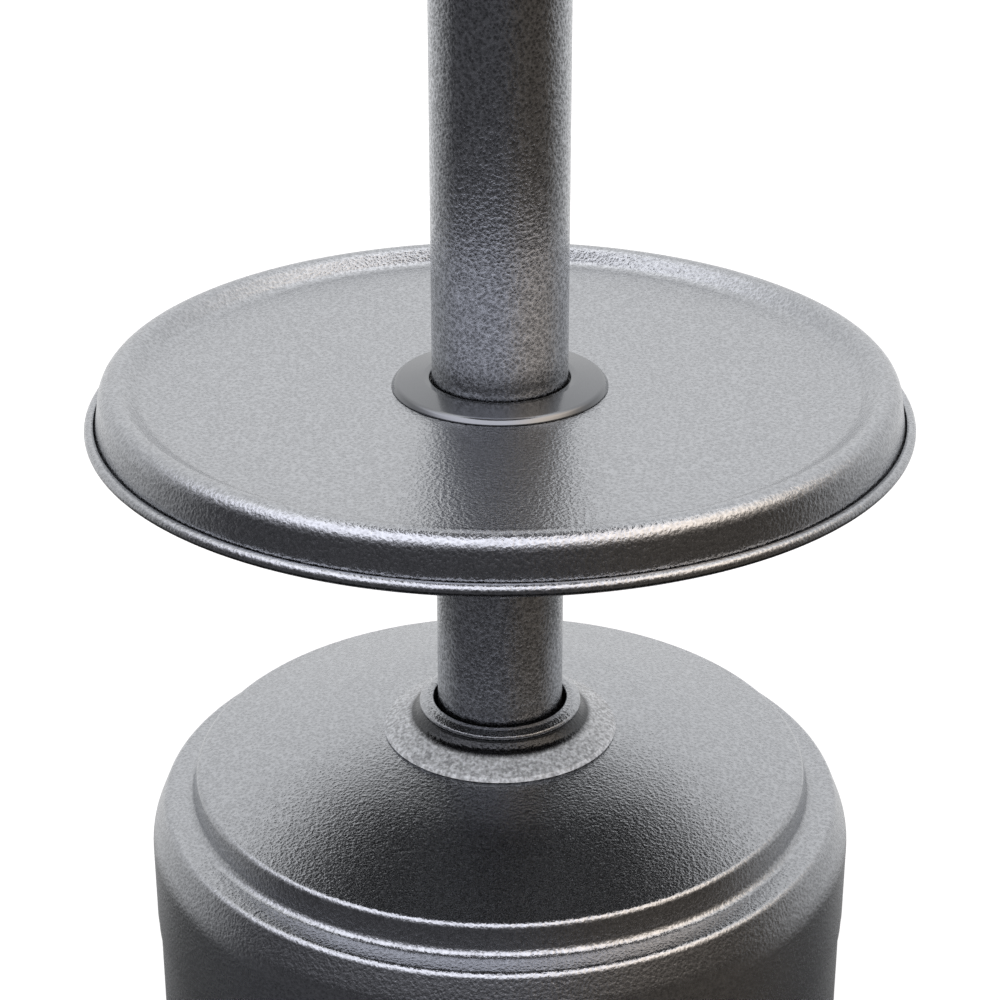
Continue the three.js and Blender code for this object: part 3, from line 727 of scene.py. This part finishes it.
def build_wheel(side, centre):
    """A tyre with two grooves in its tread, on a moulded hub with six holes."""
    tread = path_through(in_mm([
        (24, -10.5), (27, -11), (33, -11, 1), (36, -8, 2),
        (36, -3.2), (35.2, -2.8), (35.2, -1.8), (36, -1.4), (36, 1.4), (35.2, 1.8), (35.2, 2.8), (36, 3.2),
        (36, 8, 2), (33, 11, 1), (27, 11), (24, 10.5),
    ]), 4)
    put(turned(f"tyre_{side}_moulding", tread, WHEEL, "X", centre), f"tyre_{side}")

    outline = path_through(in_mm([
        (5.3, -12), (10, -12, 0.8), (10, -5, 1.5), (19.5, -4, 1.5), (20.5, -10, 0.8), (23.7, -10),
        (23.7, 10), (20.5, 10, 0.8), (19.5, 4, 1.5), (10, 5, 1.5), (10, 12, 0.8), (5.3, 12),
    ]), 3)
    hub = turned(f"wheel_hub_{side}_moulding", outline, WHEEL, "X", centre)
    drills = bmesh.new()
    for k in range(6):
        turn = Matrix.Rotation(math.radians(60 * k), 4, "Z")
        drill_into(drills, 3 * MM, 60 * MM, turn @ Matrix.Translation((15 * MM, 0, 0)))
    lay(drills, "X", centre)
    put(combined(hub, object_from("drills", drills), "DIFFERENCE"), f"wheel_hub_{side}")


def build_axle_cap(side, centre):
    low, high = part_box(f"axle_cap_{side}")
    near, far = sorted((abs(low.x), abs(high.x)))
    bore = 5.3 * MM
    roof = far - 1.6 * MM
    dome = path_through([
        (bore, near), (9 * MM, near, 0.8 * MM), (8.6 * MM, far - MM, 3 * MM), (0, far),
        (0, roof), (bore, roof),
    ], 5)
    outward = "-X" if side == "left" else "X"
    put(turned(f"axle_cap_{side}_dome", dome, SMALL, outward, centre), f"axle_cap_{side}")


def build_struts():
    """Three bent flat bars, each with a dome-headed bolt at its foot and at its top."""
    low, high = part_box("strut_1")
    half = 2.2 * MM
    foot, top = low.z + half + 0.05 * MM, high.z - half - 0.05 * MM
    upright = 173 * MM
    line = path_through([
        (204 * MM, foot), (upright, foot, 8 * MM), (upright, 505 * MM, 25 * MM), (88 * MM, top, 12 * MM),
        (50 * MM, top),
    ], 8)
    outline = [tuple(point) for point in shifted(line, half) + shifted(line, -half)[::-1]]
    for i, azimuth in enumerate(STRUT_AZIMUTHS, 1):
        strut = prism(f"strut_{i}_flat_bar", outline, -15 * MM, 15 * MM, "-Y")
        put(spun(soften(strut, 0.6 * MM), azimuth), f"strut_{i}")
        build_bolt(f"strut_foot_bolt_{i}")
        build_bolt(f"strut_top_bolt_{i}")


def build_bolt(node):
    low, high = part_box(node)
    middle = (low + high) / 2
    shank, head = 4 * MM, 8 * MM
    seat = high.z - 5 * MM
    bolt = path_through([
        (0, low.z), (shank - 0.5 * MM, low.z, 0.6 * MM), (shank, low.z + MM), (shank, seat),
        (head, seat, 0.5 * MM), (head - 0.6 * MM, seat + 2.5 * MM, 2.4 * MM), (4.5 * MM, high.z, 4 * MM),
        (0, high.z),
    ], 4)
    put(turned(f"{node}_dome_head", bolt, SMALL, at=(middle.x, middle.y, 0)), node)


# ------------------------------------------------------------------ gas supply


def build_gas():
    build_cylinder()
    build_valve()
    build_regulator()
    soften(frame["nodes"]["gas_hose"], 0.4 * MM)


def build_cylinder():
    """A steel shell with a band round its waist, on a foot ring, with an open guard round the valve."""
    low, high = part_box("gas_cylinder")
    vessel = path_through(in_mm([
        (12.5, 468), (60, 465.5, 60), (128, 438, 60), (155, 385, 50),
        (155, 278.5), (156.2, 276.5, 1), (156.2, 273.5, 1), (155, 271.5),
        (155, 150, 50), (128, 104, 50), (70, 91, 60), (0, 90),
    ]), 8)
    tank = turned("gas_cylinder_shell", sheet(vessel, -3 * MM), WHEEL)
    foot = low.z / MM
    ring = path_through(in_mm([(108, foot), (112, foot, 0.8), (112, 106, 1.2), (108, 106)]), 3)
    tank = combined(tank, turned("foot_ring", ring, WHEEL), "UNION")
    bend = arc((0, 0), 105 * MM, 45, 315, 72) + arc((0, 0), 102 * MM, 315, 45, 72)
    guard = soften(prism("guard", [tuple(point) for point in bend], 452 * MM, high.z), 1.2 * MM)
    put(combined(tank, baked(guard), "UNION"), "gas_cylinder")


def build_valve():
    body = path_through(in_mm([
        (0, 458), (12.2, 458), (12.2, 470, 1), (10, 474, 1), (10, 494, 1), (12, 496, 0.6), (12, 500, 0.6),
        (4, 503), (4, 519, 0.5), (0, 519),
    ]), 3)
    valve = turned("tank_valve_body", body, SMALL)
    spout = path_through(in_mm([(0, 4), (7, 4), (7, 20, 0.5), (8, 22, 0.5), (8, 36, 0.8), (0, 36)]), 3)
    put(combined(valve, turned("spout", spout, SMALL, "X", (0, 0, OUTLET_LEVEL)), "UNION"), "tank_valve")

    low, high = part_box("tank_handwheel")
    wheel = soften(prism("tank_handwheel_grip", star(24 * MM, 4 * MM, 6), low.z, high.z), 2.4 * MM)
    drill = bmesh.new()
    drill_into(drill, 4.4 * MM, 200 * MM, Matrix.Translation((0, 0, low.z)))
    put(combined(baked(wheel), object_from("hole", drill), "DIFFERENCE"), "tank_handwheel")


def build_regulator():
    place = (REGULATOR_OFFSET, 0, 0)
    disc = path_through(in_mm([
        (0, 474), (22, 474, 2), (26, 480, 2), (26, 484, 0.5), (24.5, 485, 0.3), (24.5, 487, 0.3),
        (26, 488, 0.5), (26, 492, 3), (20, 500, 2), (0, 500),
    ]), 4)
    regulator = turned("regulator_body", disc, WHEEL, at=place)
    inlet = path_through(in_mm([(0, 36.3), (7, 36.3, 0.8), (7, 50), (0, 50)]), 3)
    regulator = combined(regulator, turned("inlet", inlet, SMALL, "X", (0, 0, OUTLET_LEVEL)), "UNION")
    outlet = path_through(in_mm([(0, 495), (6, 495), (6, 512, 0.8), (0, 512)]), 3)
    put(combined(regulator, turned("outlet", outlet, SMALL, at=place), "UNION"), "regulator")


# ------------------------------------------------------------------ control head


def on_the_front(distance, level):
    """The place in front of the axis, at a level, for something built along Z that has to point forward."""
    return Matrix.Translation((0, -distance, level)) @ Matrix.Rotation(math.pi / 2, 4, "X")


def build_head():
    low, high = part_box("head_housing")
    radius = high.x
    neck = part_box("upper_post")[1].x + 1.8 * MM
    path = path_through([
        (neck, low.z), (neck, 1760 * MM, 5 * MM), (radius, 1775 * MM, 6 * MM), (radius, high.z, 3 * MM),
        (50 * MM, high.z),
    ], 10)
    can = turned("head_can", sheet(path, 1.2 * MM), FINE)
    openings = bmesh.new()
    drill_into(openings, 5 * MM, 40 * MM, on_the_front(radius, KNOB_LEVEL))
    drill_into(openings, 7 * MM, 40 * MM, on_the_front(radius, IGNITER_LEVEL))
    for side in (0, 180):
        for row in range(5):
            for column in range(-2, 3):
                turn = Matrix.Rotation(math.radians(side + 11 * column), 4, "Z")
                middle = Matrix.Translation((radius, 0, 1796 * MM + row * 12 * MM))
                box_into(openings, (40 * MM, 9 * MM, 3 * MM), turn @ middle)
    put(combined(can, object_from("openings", openings), "DIFFERENCE"), "head_housing")


def oblong(half, low, high, steps=24):
    """An upright slot shape: two half circles joined by straight sides."""
    top = arc((0, high - half), half, 0, 180, steps)
    bottom = arc((0, low + half), half, 180, 360, steps)
    return [tuple(point) for point in top + bottom]


def build_panel():
    """A rounded plate cut to sit on the round head, with holes for the stem and the igniter."""
    low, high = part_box("control_panel")
    face = -low.y
    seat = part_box("head_housing")[1].x + GAP
    plate = prism("control_panel_plate", oblong(high.x, low.z, high.z), 55 * MM, face, "-Y")
    baked(soften(plate, 1.6 * MM, 4))
    cutter = turned("seat", [(0, 1.7), (seat, 1.7), (seat, 1.9), (0, 1.9)], FINE)
    plate = combined(plate, cutter, "DIFFERENCE")
    drills = bmesh.new()
    drill_into(drills, 4.8 * MM, 80 * MM, on_the_front(face, KNOB_LEVEL), SMALL)
    drill_into(drills, 6.6 * MM, 80 * MM, on_the_front(face, IGNITER_LEVEL), SMALL)
    put(combined(plate, object_from("drills", drills), "DIFFERENCE"), "control_panel")


def build_knob():
    """A skirted knob with a fluted grip and a raised pointer."""
    low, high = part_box("control_knob")
    axis = (0, 0, KNOB_LEVEL)
    back, front = -high.y, -low.y
    skirt = path_through([
        (0, back), (21 * MM, back, 0.6 * MM), (21 * MM, back + 3 * MM, 1.5 * MM), (17 * MM, back + 6 * MM),
        (0, back + 6 * MM),
    ], 4)
    knob = turned("control_knob_moulding", skirt, WHEEL, "-Y", axis)
    flutes = star(17.5 * MM, 2.2 * MM, 12, 240)
    grip = soften(prism("grip", flutes, back + 2 * MM, front - 2 * MM, "-Y", axis), 1.8 * MM)
    knob = combined(knob, baked(grip), "UNION")
    half = 1.2 * MM
    pointer = [(-half, 0), (half, 0), (half, 16 * MM), (0, 17.5 * MM), (-half, 16 * MM)]
    knob = combined(knob, prism("pointer", pointer, front - 4 * MM, front, "-Y", axis), "UNION")
    put(knob, "control_knob")


def build_igniter_button():
    low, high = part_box("igniter_button")
    back, front = -high.y, -low.y
    shoulder = front - 7.5 * MM
    button = path_through([
        (0, back), (6 * MM, back), (6 * MM, shoulder), (9 * MM, shoulder, 0.6 * MM),
        (8.6 * MM, front - MM, 2 * MM), (0, front - 0.4 * MM),
    ], 5)
    put(turned("igniter_button_cap", button, SMALL, "-Y", (0, 0, IGNITER_LEVEL)), "igniter_button")


# ------------------------------------------------------------------ burner and emitter


def build_emitter():
    low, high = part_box("emitter_base")
    path = path_through([
        (20 * MM, low.z), (high.x, low.z, MM), (high.x, high.z - MM, 0.8 * MM), (high.x - 0.6 * MM, high.z),
    ], 6)
    put(turned("emitter_base_tray", sheet(path, MM), FINE), "emitter_base")

    low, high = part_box("emitter_cap")
    dish = high.z - 2 * MM
    path = path_through([
        (high.x, low.z), (high.x, high.z, 1.2 * MM), (70 * MM, high.z, 2 * MM), (66 * MM, dish, 2 * MM),
        (0, dish),
    ], 6)
    put(turned("emitter_cap_lid", sheet(path, 0.6 * MM), FINE), "emitter_cap")

    low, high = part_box("burner")
    throat, deck = 15 * MM, 1884 * MM
    path = path_through([
        (throat, low.z), (throat, deck, 2 * MM), (high.x, deck, 3 * MM), (high.x, high.z, 4 * MM),
        (0, high.z),
    ], 6)
    ports = bmesh.new()
    for ring, count in ((24, 12), (38, 20), (52, 28)):
        for k in range(count):
            turn = Matrix.Rotation(2 * math.pi * k / count, 4, "Z")
            drill_into(ports, 1.6 * MM, 8 * MM, turn @ Matrix.Translation((ring * MM, 0, high.z)), 12)
    head = turned("burner_head", sheet(path, 1.4 * MM), ROUND)
    put(combined(head, object_from("ports", ports), "DIFFERENCE"), "burner")


def build_screen():
    """A cylinder of perforated sheet: staggered round holes with plain margins at top and bottom."""
    low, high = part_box("emitter_screen")
    radius = high.x
    columns, rows = 90, 26
    margin = 12 * MM
    pitch_z = (high.z - low.z - 2 * margin) / rows
    pitch_a = 2 * math.pi / columns
    hole = 0.32 * pitch_z
    bm = bmesh.new()

    def vertex(angle, z):
        return bm.verts.new((radius * math.sin(angle), -radius * math.cos(angle), z))

    square = [(1, 0), (1, 1), (0, 1), (-1, 1), (-1, 0), (-1, -1), (0, -1), (1, -1)]
    circle = [(math.cos(math.pi * k / 4), math.sin(math.pi * k / 4)) for k in range(8)]
    for row in range(rows):
        middle = low.z + margin + (row + 0.5) * pitch_z
        for column in range(columns):
            centre = (column + 0.5 * (row % 2)) * pitch_a
            outer = [vertex(centre + a * pitch_a / 2, middle + b * pitch_z / 2) for a, b in square]
            inner = [vertex(centre + a * hole / radius, middle + b * hole) for a, b in circle]
            for k in range(8):
                bm.faces.new([outer[k], outer[(k + 1) % 8], inner[(k + 1) % 8], inner[k]])
    for bottom, top in ((low.z, low.z + margin), (high.z - margin, high.z)):
        for k in range(2 * columns):
            a, b = k * pitch_a / 2, (k + 1) * pitch_a / 2
            bm.faces.new([vertex(a, bottom), vertex(b, bottom), vertex(b, top), vertex(a, top)])
    bmesh.ops.remove_doubles(bm, verts=bm.verts, dist=0.05 * MM)
    screen = object_from("emitter_screen_mesh", bm)
    thick = screen.modifiers.new("sheet", "SOLIDIFY")
    thick.thickness = 0.8 * MM
    thick.offset = -1
    tint = heat_tinted("heat_tinted_steel", COLOR_OF["stainless"], low.z, high.z)
    put(screen, "emitter_screen", material=tint)


# ------------------------------------------------------------------ reflector


def build_reflector():
    """A spun cone with a flat crown, three steps that stiffen it and a rolled rim."""
    low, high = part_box("reflector")
    edge, crown = high.x, high.z
    bead = 3 * MM
    flat = 88 * MM
    drop = (crown - low.z) - 15 * MM
    corners = [(0, crown), (flat, crown, 12 * MM)]
    for share in (0.28, 0.55, 0.8):
        r = flat + (edge - 110 * MM) * share
        z = crown - drop * share
        corners += [(r, z, 10 * MM), (r + 5 * MM, z - 4 * MM, 8 * MM)]
    corners += [(edge - 16 * MM, crown - drop, 10 * MM), (edge - 1.5 * bead, low.z + 1.9 * bead)]
    path = path_through(corners, 8)
    roll = arc((edge - bead, low.z + bead), bead, 75, -160, 16)
    put(turned("reflector_spun_disc", sheet(path + roll, -0.9 * MM), FINE, sharp=ROLLED), "reflector")

    for i, azimuth in enumerate(STRUT_AZIMUTHS, 1):
        build_stud(f"reflector_stud_{i}", crown - 1.5 * MM)
        build_wing_nut(f"wing_nut_{i}", azimuth)


def build_stud(node, shoulder):
    """A rod that steps down at a shoulder to the thread for the wing nut."""
    low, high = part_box(node)
    middle = (low + high) / 2
    rod, thread = 5 * MM, 3 * MM
    stud = path_through([
        (0, low.z), (rod, low.z), (rod, shoulder, 0.6 * MM), (thread, shoulder),
        (thread, high.z - MM, 0.5 * MM), (thread - 0.8 * MM, high.z), (0, high.z),
    ], 3)
    put(turned(f"{node}_rod", stud, SMALL, at=(middle.x, middle.y, 0)), node)


def build_wing_nut(node, azimuth):
    low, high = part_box(node)
    middle = (low + high) / 2
    boss = path_through(in_mm([(3.3, 0), (7, 0, 0.5), (5.4, 8, 1.5), (3.3, 8)], low.z), 4)
    nut = turned(f"{node}_casting", boss, SMALL)
    top = (high.z - low.z) / MM
    wing = in_mm([(4.5, 1), (9, 3), (15, 9), (14.5, top), (10, top - 0.6), (4.5, 7)], low.z)
    for side in (-1, 1):
        bm = bmesh.new()
        prism_into(bm, [(side * x, z) for x, z in wing], -1.2 * MM, 1.2 * MM)
        bmesh.ops.transform(bm, matrix=Matrix.Rotation(math.pi / 2, 4, "X"), verts=bm.verts)
        nut = combined(nut, baked(soften(object_from("wing", bm), 0.7 * MM)), "UNION")
    spun(nut, 90 + azimuth)
    nut.data.transform(Matrix.Translation((middle.x, middle.y, 0)))
    put(nut, node)


# ------------------------------------------------------------------ CAD pieces that keep their own shape


def dress_remaining():
    """Gives every CAD node that is still shown its finish and rounded edges."""
    for node, obj in frame["nodes"].items():
        if obj.hide_render or obj.modifiers:
            continue
        obj.data.materials.clear()
        obj.data.materials.append(FINISHES[SLOT_OF[node]])
        soften(obj, 0.5 * MM)
    hose = frame["nodes"]["gas_hose"]
    hose.data.materials.clear()
    hose.data.materials.append(FINISHES["rubber"])


# ------------------------------------------------------------------ studio


def build_floor():
    floor = turned("studio_floor", [(0, -0.02), (30, -0.02), (30, 0), (0, 0)], 128)
    material, tree, shader, place = new_material("pale_floor", 0.0, 0.9, (0.93, 0.93, 0.93))
    speck = noise(tree, place, 400.0)
    shade = blended(tree, speck, (0.90, 0.90, 0.90), (0.96, 0.96, 0.96))
    tree.links.new(shade, shader.inputs["Base Color"])
    floor.data.materials.append(material)
    floor.visible_glossy = False


def sky(tree, height, stops, tint=(1.0, 1.0, 1.0)):
    """The studio's colour by the height of a direction, from (height, brightness) stops."""
    node = make(tree, "ValToRGB", ranged(tree, height, -1.0, 1.0, 0.0, 1.0))
    ramp = node.color_ramp
    ramp.elements.remove(ramp.elements[1])
    for i, (z, level) in enumerate(stops):
        stop = ramp.elements.new((z + 1) / 2) if i else ramp.elements[0]
        stop.position = (z + 1) / 2
        stop.color = (*(level * c for c in tint), 1)
    return node.outputs[0]


def build_world():
    """White studio: brightest overhead, bright behind, dim in front, there cool left and warm right."""
    world = bpy.data.worlds.new("studio")
    bpy.context.scene.world = world
    world.use_nodes = True
    tree = world.node_tree
    tree.nodes.clear()
    direction = make(tree, "TexCoord").outputs["Generated"]
    x, y, z = make(tree, "SeparateXYZ", direction).outputs
    straight = ranged(tree, y, 0.5, 0.88, 0.0, 1.0)
    behind = blended(tree, straight, sky(tree, z, SIDE_SKY), sky(tree, z, BACK_SKY))
    rightward = ranged(tree, x, 0.1, 0.55, 0.0, 1.0)
    ahead = blended(tree, rightward, sky(tree, z, FRONT_SKY, COOL), sky(tree, z, FRONT_SKY, WARM))
    front = ranged(tree, y, -0.1, 0.45, 1.0, 0.0)
    studio = make(tree, "Background", blended(tree, front, behind, ahead), 1.0)
    fill = make(tree, "Background", WHITE, FILL)
    white = make(tree, "Background", WHITE, 1.0)
    ray = make(tree, "LightPath")
    lit = make(tree, "MixShader", ray.outputs["Is Diffuse Ray"], studio.outputs[0], fill.outputs[0])
    seen = make(tree, "MixShader", ray.outputs["Is Camera Ray"], lit.outputs[0], white.outputs[0])
    out = tree.nodes.new("ShaderNodeOutputWorld")
    tree.links.new(seen.outputs[0], out.inputs["Surface"])


def build_camera():
    """Looks down at the table from in front, at the height and distance of a person standing by it."""
    distance, rise, tilt = 1.4333, 0.5987, 24.6
    data = bpy.data.cameras.new("camera")
    data.sensor_width = 36
    data.lens = 91.94
    camera = bpy.data.objects.new("camera", data)
    bpy.context.scene.collection.objects.link(camera)
    camera.location = (0, -distance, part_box("table_top")[0].z + rise)
    camera.rotation_euler = (math.radians(90 - tilt), 0, 0)
    bpy.context.scene.camera = camera


build_table()
build_lock_knob()
build_post()
build_dome()
build_wall()
build_base()
build_wheels()
build_struts()
build_gas()
build_head()
build_panel()
build_knob()
build_igniter_button()
build_emitter()
build_screen()
build_reflector()
dress_remaining()
build_floor()
build_world()
build_camera()
bpy.context.scene.view_settings.view_transform = "Standard"
